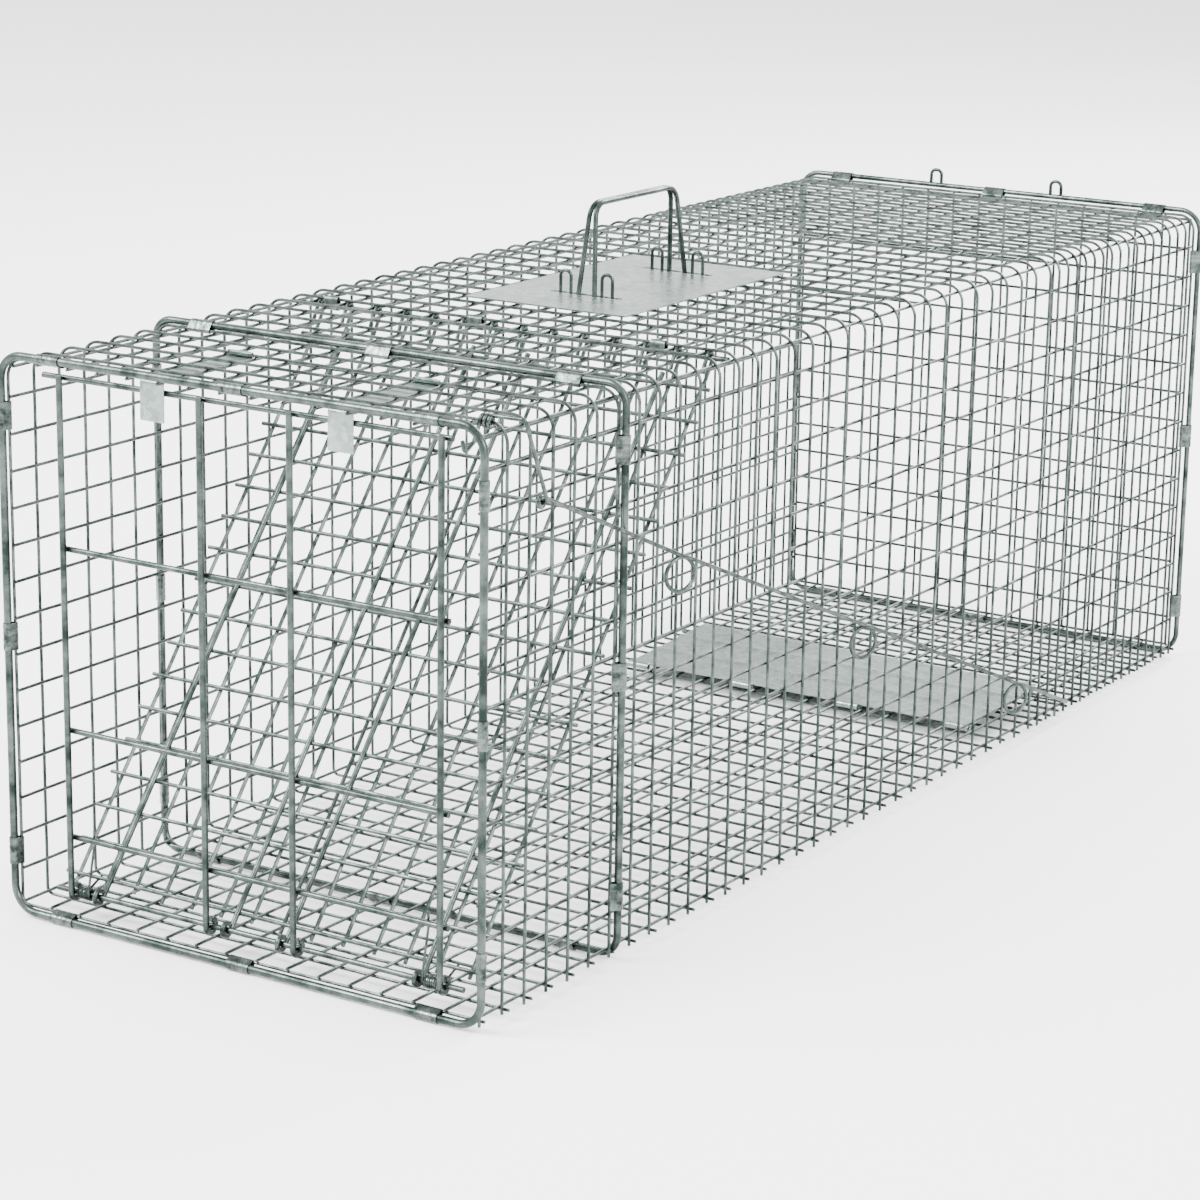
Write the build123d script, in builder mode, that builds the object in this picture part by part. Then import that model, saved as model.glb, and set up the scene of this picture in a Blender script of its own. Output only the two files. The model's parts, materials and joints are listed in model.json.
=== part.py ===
from build123d import *
import os

os.makedirs("parts", exist_ok=True)

# A live catch trap: a cage of welded wire mesh with one sloping gravity door.
# X runs across the cage, Y from the door end (-Y) to the closed end (+Y), Z up.
# The origin is on the ground below the middle of the cage.

# Driving dimensions, mm
PITCH = 25.4  # one cell of the real mesh
CELLS_WIDE = 15
CELLS_LONG = 42
BAR_STEP = 3  # each panel bar stands for this many mesh wires
BAR_WIDTH = 7.0
PANEL = 1.8  # with BAR_WIDTH, gives the weight of the wires stood for
HOOP_ROD = 5.5
HOOP_OFFSET = 4.2  # hoop centre line outside the middle of the mesh
HOOP_BEND = 18.0
TIGHT_BEND = 4.0  # second hoop, which hugs the corners of the panels
REAR_ROD = 4.5
BRACE_ROD = 4.5
CROSSBAR_ROD = 4.0
STIFFENER_ROD = 3.8
HINGE_ROD = 4.0
LEVER_WIRE = 2.8
LINK_WIRE = 3.0
HANDLE_WIRE = 3.8
STAPLE_WIRE = 2.6
CLIP_SHEET = 0.8
CLIP_LENGTH = 19.0
STRIP_SHEET = 1.0
PAN_SHEET = 0.8
GUARD_SHEET = 1.2
GAP = 0.15  # between parts that are clipped or welded together
RUNNING_GAP = 0.4  # between an eye and the rod that it turns on

WIDTH = CELLS_WIDE * PITCH
LENGTH = CELLS_LONG * PITCH
FLOOR_Z = HOOP_OFFSET + HOOP_ROD / 2 + GAP + CLIP_SHEET  # the clips stand on the ground
ROOF_Z = FLOOR_Z + WIDTH
WALL_X = WIDTH / 2
END_Y = LENGTH / 2
MID_Z = FLOOR_Z + WIDTH / 2
STEP = BAR_STEP * PITCH
ACROSS_STEPS = CELLS_WIDE // BAR_STEP
LONG_STEPS = CELLS_LONG // BAR_STEP


def across(cells):
    """X of a place, in cells from the left wall."""
    return (cells - CELLS_WIDE / 2) * PITCH


def along(cells):
    """Y of a place, in cells from the door end."""
    return cells * PITCH - END_Y


def up(cells):
    """Z of a place, in cells above the floor mesh."""
    return FLOOR_Z + cells * PITCH


def write(builder, name):
    """Label a finished piece and write it as its own STEP file."""
    builder.part.label = name
    export_step(builder.part, f"parts/{name}.step")


def straight_rod(start, end, diameter):
    """Add a straight round rod to the part being built."""
    run = Vector(*end) - Vector(*start)
    with Locations(Plane(start, z_dir=run).location):
        Cylinder(diameter / 2, run.length, align=(Align.CENTER, Align.CENTER, Align.MIN))


def bent_rod(points, bend, diameter):
    """Add a round rod that runs through points, with bends of one radius."""
    with BuildLine(mode=Mode.PRIVATE) as route:
        FilletPolyline(*points, radius=bend)
    path = route.wire()
    with BuildSketch(Plane(path @ 0, z_dir=path % 0), mode=Mode.PRIVATE) as section:
        Circle(diameter / 2)
    sweep(sections=section.sketch, path=path)


def ring(centre, radius, wire, axis=(1, 0, 0)):
    """Add a closed ring of wire."""
    with Locations(Plane(centre, z_dir=axis).location):
        Torus(radius, wire / 2)


def eye_rod(frame, length, eye, wire):
    """Add a rod up a plane's y axis, whose foot curls round the plane's x axis.

    The rod lies at z = -eye on the plane, and its curl takes three quarters of a turn.
    """
    def place(y, z):
        return frame.from_local_coords((0, y, z))

    diagonal = eye * 0.5**0.5
    with BuildLine(mode=Mode.PRIVATE) as route:
        Line(place(length, -eye), place(0, -eye))
        ThreePointArc(place(0, -eye), place(-diagonal, -diagonal), place(-eye, 0))
        ThreePointArc(place(-eye, 0), place(-diagonal, diagonal), place(0, eye))
        ThreePointArc(place(0, eye), place(diagonal, diagonal), place(eye, 0))
    path = route.wire()
    with BuildSketch(Plane(path @ 0, z_dir=path % 0), mode=Mode.PRIVATE) as section:
        Circle(wire / 2)
    sweep(sections=section.sketch, path=path)


def hoop(y, rod, offset, bend):
    """Add a rounded rectangle of rod round the cage, in one plane."""
    size = WIDTH + 2 * offset
    with BuildSketch(Plane((0, y, MID_Z), z_dir=(0, 1, 0)), mode=Mode.PRIVATE) as outline:
        RectangleRounded(size, size, bend)
    path = outline.sketch.face().outer_wire()
    with BuildSketch(Plane(path @ 0, z_dir=path % 0), mode=Mode.PRIVATE) as section:
        Circle(rod / 2)
    sweep(sections=section.sketch, path=path)


def crimp(centre, outward, rod):
    """Add an open C of sheet round a rod, with its mouth towards the mesh."""
    normal = Vector(0, 1, 0).cross(Vector(*outward))
    inner = rod / 2 + GAP
    outer = inner + CLIP_SHEET
    with BuildSketch(Plane(centre, x_dir=(0, 1, 0), z_dir=normal), mode=Mode.PRIVATE) as profile:
        Circle(outer)
        Circle(inner, mode=Mode.SUBTRACT)
        with Locations((0, -outer)):
            Rectangle(3 * outer, outer, mode=Mode.SUBTRACT)
    extrude(profile.sketch, amount=CLIP_LENGTH / 2, both=True)


def hoop_clips(y, rod, offset):
    """Add three clips on each side of a hoop."""
    reach = WALL_X + offset
    for cells in (1.5, 7.5, 13.5):
        crimp((across(cells), y, MID_Z + reach), (0, 0, 1), rod)
        crimp((across(cells), y, MID_Z - reach), (0, 0, -1), rod)
        crimp((reach, y, up(cells)), (1, 0, 0), rod)
        crimp((-reach, y, up(cells)), (-1, 0, 0), rod)


# ------------------------------------------------------------------ cage panels
for name, level in (("floor_mesh", FLOOR_Z), ("roof_mesh", ROOF_Z)):
    with BuildPart() as flat_panel:
        with BuildSketch(Plane.XY.offset(level)):
            Rectangle(WIDTH + PANEL, LENGTH + PANEL)
            with GridLocations(STEP, STEP, ACROSS_STEPS, LONG_STEPS):
                Rectangle(STEP - BAR_WIDTH, STEP - BAR_WIDTH, mode=Mode.SUBTRACT)
        extrude(amount=PANEL / 2, both=True)
    write(flat_panel, name)

for name, side in (("left_wall_mesh", -1), ("right_wall_mesh", 1)):
    with BuildPart() as wall_panel:
        with BuildSketch(Plane.YZ.offset(side * WALL_X)):
            with Locations((0, MID_Z)):
                Rectangle(LENGTH + PANEL, WIDTH - PANEL)
                with GridLocations(STEP, STEP, LONG_STEPS, ACROSS_STEPS):
                    Rectangle(STEP - BAR_WIDTH, STEP - BAR_WIDTH, mode=Mode.SUBTRACT)
        extrude(amount=PANEL / 2, both=True)
    write(wall_panel, name)

REAR_PANEL_Y = END_Y + PANEL
with BuildPart() as rear_wall_mesh:
    with BuildSketch(Plane((0, REAR_PANEL_Y, MID_Z), z_dir=(0, 1, 0))):
        Rectangle(WIDTH + PANEL, WIDTH + PANEL)
        with GridLocations(STEP, STEP, ACROSS_STEPS, ACROSS_STEPS):
            Rectangle(STEP - BAR_WIDTH, STEP - BAR_WIDTH, mode=Mode.SUBTRACT)
    extrude(amount=PANEL / 2, both=True)
write(rear_wall_mesh, "rear_wall_mesh")

# ------------------------------------------------------- hoops and their clips
FRONT_HOOP_Y = -END_Y - PANEL / 2 - HOOP_ROD / 2 - GAP
SECOND_HOOP_Y = along(6) + HOOP_OFFSET
REAR_FRAME_Y = REAR_PANEL_Y + PANEL / 2 + REAR_ROD / 2 + GAP
REAR_OFFSET = FLOOR_Z - REAR_ROD / 2 - GAP - CLIP_SHEET

with BuildPart() as front_hoop:
    hoop(FRONT_HOOP_Y, HOOP_ROD, HOOP_OFFSET, HOOP_BEND)
write(front_hoop, "front_hoop")

with BuildPart() as second_hoop:
    hoop(SECOND_HOOP_Y, HOOP_ROD, HOOP_OFFSET, TIGHT_BEND)
write(second_hoop, "second_hoop")

with BuildPart() as rear_frame:
    hoop(REAR_FRAME_Y, REAR_ROD, REAR_OFFSET, HOOP_BEND)
write(rear_frame, "rear_frame")

with BuildPart() as front_hoop_clips:
    hoop_clips(FRONT_HOOP_Y, HOOP_ROD, HOOP_OFFSET)
write(front_hoop_clips, "front_hoop_clips")

with BuildPart() as second_hoop_clips:
    hoop_clips(SECOND_HOOP_Y, HOOP_ROD, HOOP_OFFSET)
write(second_hoop_clips, "second_hoop_clips")

with BuildPart() as rear_frame_clips:
    hoop_clips(REAR_FRAME_Y, REAR_ROD, REAR_OFFSET)
write(rear_frame_clips, "rear_frame_clips")

with BuildPart() as rear_loops:
    for cells in (5.2, 9.8):
        base = ROOF_Z + REAR_OFFSET + REAR_ROD / 2 + GAP
        start = (across(cells) - 5, REAR_FRAME_Y, base)
        end = (across(cells) + 5, REAR_FRAME_Y, base)
        crown = (0, 0, 11)
        top = [tuple(Vector(*start) + Vector(*crown)), tuple(Vector(*end) + Vector(*crown))]
        bent_rod([start, *top, end], 4.5, LINK_WIRE)
write(rear_loops, "rear_loops")

# --------------------------------------------------------- roof hinge of the door
HINGE_Y = along(12)
HINGE_Z = ROOF_Z - PANEL / 2 - 1.5 - HINGE_ROD / 2
with BuildPart() as roof_hinge_rod:
    straight_rod((across(0.3), HINGE_Y, HINGE_Z), (across(14.7), HINGE_Y, HINGE_Z), HINGE_ROD)
write(roof_hinge_rod, "roof_hinge_rod")

# ------------------------------------------------------------------- brace frame
BRACE_Y = along(0.5)
BRACE_TOP_Z = up(14.6)
PIVOT_Z = up(0.45)
EYE_RADIUS = HINGE_ROD / 2 + RUNNING_GAP + BRACE_ROD / 2
BAR_Y = BRACE_Y - EYE_RADIUS
BAR_PLACES = (-154.4, -36.5, 36.5, 154.4)

with BuildPart() as brace_top_bar:
    straight_rod((-172, BRACE_Y, BRACE_TOP_Z), (160, BRACE_Y, BRACE_TOP_Z), HINGE_ROD)
write(brace_top_bar, "brace_top_bar")

for number, x in enumerate(BAR_PLACES, start=1):
    with BuildPart() as brace_bar:
        foot = Plane((x, BRACE_Y, PIVOT_Z), x_dir=(-1, 0, 0), z_dir=(0, 1, 0))
        eye_rod(foot, BRACE_TOP_Z + 2 - PIVOT_Z, EYE_RADIUS, BRACE_ROD)
    write(brace_bar, f"brace_bar_{number}")

CROSSBAR_Y = BAR_Y + BRACE_ROD / 2 + CROSSBAR_ROD / 2 + GAP
for name, cells in (("low", 2.0), ("middle", 5.0), ("high", 10.0)):
    with BuildPart() as crossbar:
        straight_rod((-158, CROSSBAR_Y, up(cells)), (158, CROSSBAR_Y, up(cells)), CROSSBAR_ROD)
    write(crossbar, f"brace_crossbar_{name}")

SPRING_HALF = 6.0
SPRING_PLACES = (("left_torsion_spring", -145.0), ("right_torsion_spring", 145.0))
for name, x in SPRING_PLACES:
    with BuildPart() as spring:
        with Locations(Plane((x, BRACE_Y, PIVOT_Z), z_dir=(1, 0, 0)).location):
            Cylinder(HINGE_ROD / 2 + 2.4, 2 * SPRING_HALF)
            Cylinder(HINGE_ROD / 2 + RUNNING_GAP, 3 * SPRING_HALF, mode=Mode.SUBTRACT)
    write(spring, name)

# --------------------------------------------------------------- sloping mesh door
DOOR_PLANE = Plane(
    (0, BRACE_Y, PIVOT_Z),
    x_dir=(1, 0, 0),
    z_dir=Vector(1, 0, 0).cross(Vector(0, HINGE_Y - BRACE_Y, HINGE_Z - PIVOT_Z)),
)
# On this plane x is across the door, y is up its slope, and z is towards the door
# end of the cage, so the mesh lies at a negative z.
DOOR_LENGTH = Vector(0, HINGE_Y - BRACE_Y, HINGE_Z - PIVOT_Z).length
DOOR_FIRST = 14.5  # first rung, up the slope from the pivot rod
DOOR_ROWS = 17
DOOR_HALF = 6.8 * PITCH
STIFFENER_EYE = HINGE_ROD / 2 + RUNNING_GAP + STIFFENER_ROD / 2
DOOR_DEPTH = STIFFENER_EYE + STIFFENER_ROD / 2 + GAP + PANEL / 2  # behind the pivot rod
DOOR_BARS = (4, 6)

with BuildPart() as door_mesh:
    with BuildSketch(DOOR_PLANE.offset(-DOOR_DEPTH)):
        height = DOOR_ROWS * PITCH
        with Locations((0, DOOR_FIRST + height / 2)):
            Rectangle(2 * DOOR_HALF, height + BAR_WIDTH)
            columns, rows = DOOR_BARS
            cell_x = 2 * DOOR_HALF / columns
            cell_y = height / rows
            with GridLocations(cell_x, cell_y, columns, rows):
                Rectangle(cell_x - BAR_WIDTH, cell_y - BAR_WIDTH, mode=Mode.SUBTRACT)
    extrude(amount=PANEL / 2, both=True)
write(door_mesh, "door_mesh")

STIFFENER_TOP = DOOR_LENGTH - 14
for number, x in enumerate((-134.0, -23.0, 23.0, 134.0), start=1):
    with BuildPart() as stiffener:
        foot = Plane(DOOR_PLANE.from_local_coords((x, 0, 0)), DOOR_PLANE.x_dir, DOOR_PLANE.z_dir)
        eye_rod(foot, STIFFENER_TOP, STIFFENER_EYE, STIFFENER_ROD)
    write(stiffener, f"door_stiffener_{number}")

with BuildPart() as pivot_rod:
    straight_rod((-170, BRACE_Y, PIVOT_Z), (170, BRACE_Y, PIVOT_Z), HINGE_ROD)
write(pivot_rod, "pivot_rod")

# -------------------------------------------------------- stop strips for the brace
STRIP_WIDTH = 20.0
STRIP_Z = ROOF_Z - PANEL / 2 - GAP - STRIP_SHEET / 2
TAB_Y = BRACE_Y - HINGE_ROD / 2 - 1.2
for name, x in (("left_stop_strip", across(4.5)), ("right_stop_strip", across(10.5))):
    with BuildPart() as strip:
        with BuildSketch(Plane.YZ.offset(x)):
            with Locations(((TAB_Y + along(4.2)) / 2, STRIP_Z)):
                Rectangle(along(4.2) - TAB_Y + STRIP_SHEET, STRIP_SHEET)
            with Locations((TAB_Y, (STRIP_Z + up(13.85)) / 2)):
                Rectangle(STRIP_SHEET, STRIP_Z - up(13.85))
        extrude(amount=STRIP_WIDTH / 2, both=True)
    write(strip, name)

# ------------------------------------------------------------------ handle and guard
GUARD_X = across(7.25)
GUARD_Y = along(18.8)
GUARD_Z = ROOF_Z + PANEL / 2 + 1.6 + GUARD_SHEET / 2
SLOT_YS = (along(16.5), along(21.5))
with BuildPart() as handle_guard:
    with BuildSketch(Plane.XY.offset(GUARD_Z)):
        with Locations((GUARD_X, GUARD_Y)):
            RectangleRounded(5.4 * PITCH, 9.0 * PITCH, 3)
        with Locations(*[(GUARD_X, y) for y in SLOT_YS]):
            SlotOverall(62, 6, mode=Mode.SUBTRACT)
    extrude(amount=GUARD_SHEET / 2, both=True)
write(handle_guard, "handle_guard")

HANDLE_TOP = ROOF_Z + 2.75 * PITCH
with BuildPart() as handle_bail:
    for side in (-1, 1):
        grip_x = GUARD_X + side * (HANDLE_WIRE / 2 + GAP)
        foot_x = GUARD_X + side * 7
        front, rear = SLOT_YS
        points = [
            (foot_x, front, ROOF_Z + PANEL),
            (grip_x, front + 8, HANDLE_TOP),
            (grip_x, rear - 8, HANDLE_TOP),
            (foot_x, rear, ROOF_Z + PANEL),
        ]
        bent_rod(points, 12, HANDLE_WIRE)
write(handle_bail, "handle_bail")

with BuildPart() as handle_staples:
    for y in SLOT_YS:
        for side in (-1, 1):
            x = GUARD_X + side * 18
            foot = ROOF_Z + PANEL
            crown = GUARD_Z + 17
            points = [(x - 4.5, y, foot), (x - 4.5, y, crown), (x + 4.5, y, crown), (x + 4.5, y, foot)]
            bent_rod(points, 4.2, STAPLE_WIRE)
write(handle_staples, "handle_staples")

# ---------------------------------------------------- lever, link rod and trigger pan
LEVER_Y = along(1)
LEVER_Z = ROOF_Z + 1.1
COIL_RADIUS = 3.8
LINK_X = WALL_X + 8.7
ARM_BEND = 2.6
ARM_X = LINK_X + LINK_WIRE / 2 + ARM_BEND + GAP + 0.4
ARM_END = (ARM_X, along(2.06), up(12.95))
with BuildPart() as trigger_lever:
    with Locations(Plane((177, LEVER_Y, LEVER_Z), z_dir=(1, 0, 0)).location):
        Cylinder(COIL_RADIUS + LEVER_WIRE / 2, 10)
        Cylinder(COIL_RADIUS - LEVER_WIRE / 2, 12, mode=Mode.SUBTRACT)
    shoulder = LEVER_Z + COIL_RADIUS
    outer_arm = [
        (180, LEVER_Y, shoulder),
        (ARM_X, LEVER_Y, shoulder),
        ARM_END,
        (WALL_X + 5.5, ARM_END[1], ARM_END[2]),
    ]
    bent_rod(outer_arm, ARM_BEND, LEVER_WIRE)
    hook = [
        (173, LEVER_Y - COIL_RADIUS, LEVER_Z),
        (169, LEVER_Y - COIL_RADIUS, up(14.5)),
        (169, LEVER_Y - 14, up(14.3)),
        (169, LEVER_Y - 16, up(14.6)),
    ]
    bent_rod(hook, 2.5, LEVER_WIRE)
write(trigger_lever, "trigger_lever")

LINK_FRONT = (LINK_X, ARM_END[1], ARM_END[2])
LINK_REAR = (LINK_X, along(33.26), FLOOR_Z + 5.45)
EYE = LEVER_WIRE / 2 + RUNNING_GAP + LINK_WIRE / 2
LOOP_RADIUS = 12.0
slope = (Vector(*LINK_REAR) - Vector(*LINK_FRONT)).normalized()
below = slope.cross(Vector(1, 0, 0)) * -1
with BuildPart() as link_rod:
    ring(LINK_FRONT, EYE, LINK_WIRE)
    start = Vector(*LINK_FRONT) + slope * EYE
    end = (-175, LINK_REAR[1], LINK_REAR[2])
    bent_rod([tuple(start), LINK_REAR, end], 5, LINK_WIRE)
    for cells in (8.97, 19.28, 29.6):
        run = (along(cells) - LINK_FRONT[1]) / slope.Y
        middle = Vector(*LINK_FRONT) + slope * run
        sign = 1 if below.Z < 0 else -1
        ring(tuple(middle + below * (sign * LOOP_RADIUS)), LOOP_RADIUS, LINK_WIRE)
write(link_rod, "link_rod")

PAN_Y = along(29)
PAN_Z = FLOOR_Z + 3.8
PAN_HALF = 162.5
CURL = 2.7
with BuildPart() as trigger_pan:
    front = (PAN_Y + CURL, PAN_Z + 0.4)
    profile_points = [
        front,
        (along(30.6), PAN_Z + 2.0),
        (along(30.75), PAN_Z + 3.6),
        (along(30.9), PAN_Z + 2.2),
        (along(32.2), PAN_Z + 4.1),
        (along(32.35), PAN_Z + 5.7),
        (along(32.5), PAN_Z + 4.6),
        (along(33.9), PAN_Z + 6.3),
    ]
    lower = [(y, z) for y, z in profile_points]
    upper = [(y, z + PAN_SHEET) for y, z in reversed(profile_points)]
    with BuildSketch(Plane.YZ):
        with BuildLine():
            Polyline(*lower, *upper, close=True)
        make_face()
    extrude(amount=PAN_HALF, both=True)
write(trigger_pan, "trigger_pan")

with BuildPart() as pan_hinge_curls:
    for cells in (1.5, 5.5, 9.5, 13.5):
        with Locations(Plane((across(cells), PAN_Y, PAN_Z), z_dir=(1, 0, 0)).location):
            Cylinder(CURL, 20)
            Cylinder(CURL - PAN_SHEET, 22, mode=Mode.SUBTRACT)
write(pan_hinge_curls, "pan_hinge_curls")
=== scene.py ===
import json
import math
import random

import bpy
from bpy.props import FloatProperty, FloatVectorProperty, IntProperty, PointerProperty
from mathutils import Matrix, Vector


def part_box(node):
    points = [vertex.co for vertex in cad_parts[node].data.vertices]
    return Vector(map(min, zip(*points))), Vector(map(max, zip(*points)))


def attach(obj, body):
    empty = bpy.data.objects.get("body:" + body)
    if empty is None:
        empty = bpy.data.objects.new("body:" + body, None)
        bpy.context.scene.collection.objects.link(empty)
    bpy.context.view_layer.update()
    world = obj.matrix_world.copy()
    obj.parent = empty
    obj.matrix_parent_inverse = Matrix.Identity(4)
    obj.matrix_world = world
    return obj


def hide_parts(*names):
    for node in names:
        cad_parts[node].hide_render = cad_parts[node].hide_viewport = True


bl_info = {
    "name": "Live Catch Trap",
    "version": (1, 0, 0),
    "blender": (4, 5, 0),
    "location": "View3D > Sidebar > Trap",
    "description": "Builds the wire work, sheet parts and finishes of a live catch trap",
    "category": "Add Mesh",
}

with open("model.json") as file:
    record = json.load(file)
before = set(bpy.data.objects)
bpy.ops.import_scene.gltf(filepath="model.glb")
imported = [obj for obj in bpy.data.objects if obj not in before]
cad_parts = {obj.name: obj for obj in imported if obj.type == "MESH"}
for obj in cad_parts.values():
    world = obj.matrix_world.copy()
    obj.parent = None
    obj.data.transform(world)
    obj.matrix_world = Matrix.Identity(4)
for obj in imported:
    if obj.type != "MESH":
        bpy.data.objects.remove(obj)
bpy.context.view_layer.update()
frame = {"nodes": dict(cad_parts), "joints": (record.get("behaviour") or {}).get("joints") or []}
MM = 0.001
X_AXIS = Vector((1, 0, 0))
Z_AXIS = Vector((0, 0, 1))
MIX_COLOURS = (6, 7)  # the colour inputs of a mix node
MIX_RESULT = 2  # its colour output


# ------------------------------------------------------------------ places
def middle(node):
    """Middle of a CAD node's box."""
    low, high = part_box(node)
    return (low + high) / 2


JOINTS = {
    joint["name"]: Vector(joint["pos_m"]) for joint in frame["joints"] if "pos_m" in joint
}
WALL_X = middle("right_wall_mesh").x
FLOOR_Z = middle("floor_mesh").z
ROOF_Z = middle("roof_mesh").z
SHEET_HALF = (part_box("floor_mesh")[1].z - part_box("floor_mesh")[0].z) / 2
REAR_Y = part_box("floor_mesh")[1].y - SHEET_HALF
CELLS_WIDE = 15
CELLS_LONG = 42
WIDE_ROWS = 31  # cells of full pitch, counted from the door end
CLOSE_ROWS = 17  # closer cells behind them
PITCH = 2 * WALL_X / CELLS_WIDE
LAYER = 0.48  # half the distance between crossing wires, in wire diameters
CLIP_CELLS = (1.5, 7.5, 13.5)
HINGE_CLIP_CELLS = (1.5, 6.5, 12.5)
CURL_CELLS = (1.5, 5.5, 9.5, 13.5)
LOOP_CELLS = (8.97, 19.28, 29.6)
SECOND_HOOP_CELLS = 6
STRIP_WIRE_CELLS = 4
PIVOT = JOINTS["door_swing"]
LEVER_AXLE = JOINTS["lever_turn"]
LEVER_PIN = JOINTS["link_rod_turn"]
PAN_HINGE = JOINTS["pan_tilt"]


def across(cells):
    """X of a place, in cells from the left wall."""
    return (cells - CELLS_WIDE / 2) * PITCH


def along(cells):
    """Y of a place, in cells from the door end."""
    return REAR_Y + (cells - CELLS_LONG) * PITCH


def up(cells):
    """Z of a place, in cells above the floor mesh."""
    return FLOOR_Z + cells * PITCH


# ------------------------------------------------------------------ settings
class TRAP_PG_sizes(bpy.types.PropertyGroup):
    """Sizes of the wires and sheets."""

    mesh_wire: FloatProperty(
        name="Mesh wire",
        description="Diameter of the welded mesh wire",
        default=2.3 * MM,
        unit="LENGTH",
        precision=5,
    )
    door_wire: FloatProperty(
        name="Door wire",
        description="Diameter of the welded wires of the door",
        default=2.9 * MM,
        unit="LENGTH",
        precision=5,
    )
    mesh_bend: FloatProperty(
        name="Mesh bend",
        description="Radius of the mesh round the long edges of the cage",
        default=13.0 * MM,
        unit="LENGTH",
        precision=5,
    )
    hoop_bend: FloatProperty(
        name="Hoop bend",
        description="Radius of the corners of the second hoop",
        default=14.0 * MM,
        unit="LENGTH",
        precision=5,
    )
    wander: FloatProperty(
        name="Wander",
        description="How far a mesh wire strays from its straight line",
        default=0.14 * MM,
        unit="LENGTH",
        precision=5,
    )
    clip_length: FloatProperty(
        name="Clip length",
        description="Length of a crimped clip along its hoop",
        default=19.0 * MM,
        unit="LENGTH",
        precision=5,
    )
    spring_wire: FloatProperty(
        name="Spring wire",
        description="Diameter of the torsion spring wire",
        default=1.8 * MM,
        unit="LENGTH",
        precision=5,
    )
    lever_wire: FloatProperty(
        name="Lever wire",
        description="Diameter of the trigger lever wire",
        default=2.8 * MM,
        unit="LENGTH",
        precision=5,
    )
    link_wire: FloatProperty(
        name="Link rod wire",
        description="Diameter of the rod from the lever to the pan",
        default=3.0 * MM,
        unit="LENGTH",
        precision=5,
    )
    loop_radius: FloatProperty(
        name="Loop radius",
        description="Radius of the loops of the link rod",
        default=12.0 * MM,
        unit="LENGTH",
        precision=5,
    )
    spring_turns: IntProperty(
        name="Spring turns",
        description="Turns of each torsion spring",
        default=6,
        min=2,
    )


class TRAP_PG_colours(bpy.types.PropertyGroup):
    """Colours of the finishes."""

    zinc_bright: FloatVectorProperty(
        name="Bright zinc",
        description="Colour of clean zinc on the wires and rods",
        default=(0.088, 0.110, 0.102),
        subtype="COLOR",
        min=0.0,
        max=1.0,
    )
    zinc_dull: FloatVectorProperty(
        name="Dull zinc",
        description="Colour of weathered zinc on the wires and rods",
        default=(0.016, 0.024, 0.021),
        subtype="COLOR",
        min=0.0,
        max=1.0,
    )
    plate_bright: FloatVectorProperty(
        name="Bright sheet",
        description="Colour of the lighter crystals of galvanised sheet",
        default=(0.30, 0.355, 0.34),
        subtype="COLOR",
        min=0.0,
        max=1.0,
    )
    plate_dull: FloatVectorProperty(
        name="Dull sheet",
        description="Colour of the darker crystals of galvanised sheet",
        default=(0.15, 0.19, 0.178),
        subtype="COLOR",
        min=0.0,
        max=1.0,
    )
    clip_bright: FloatVectorProperty(
        name="Clip steel",
        description="Colour of the crimped clips",
        default=(0.125, 0.150, 0.142),
        subtype="COLOR",
        min=0.0,
        max=1.0,
    )
    floor_colour: FloatVectorProperty(
        name="Floor",
        description="Colour of the pale studio floor",
        default=(0.93, 0.93, 0.93),
        subtype="COLOR",
        min=0.0,
        max=1.0,
    )


# ------------------------------------------------------------------ wire work
def bend(points, radius, closed=False, steps=6):
    """Line through points whose corners are bent to one radius, or to one each."""
    line = []
    count = len(points)
    radii = [radius] * count if isinstance(radius, float) else radius
    for index, corner in enumerate(points):
        if not closed and index in (0, count - 1):
            line.append(corner.copy())
            continue
        back = points[index - 1] - corner
        ahead = points[(index + 1) % count] - corner
        room = min(back.length, ahead.length) * 0.49
        half = back.angle(ahead) / 2
        if half > math.pi / 2 - 0.01:
            line.append(corner.copy())
            continue
        turn = min(radii[index], room * math.tan(half))
        cut = turn / math.tan(half)
        back.normalize()
        ahead.normalize()
        centre = corner + (back + ahead).normalized() * turn / math.sin(half)
        first = (corner + back * cut - centre).normalized()
        last = (corner + ahead * cut - centre).normalized()
        for step in range(steps + 1):
            line.append(centre + first.slerp(last, step / steps) * turn)
    return line


def arc(centre, start, axis, degrees, steps):
    """Points that turn about an axis through centre, from start."""
    points = []
    for step in range(steps + 1):
        turn = Matrix.Rotation(math.radians(degrees * step / steps), 3, axis)
        points.append(centre + turn @ (start - centre))
    return points


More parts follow.
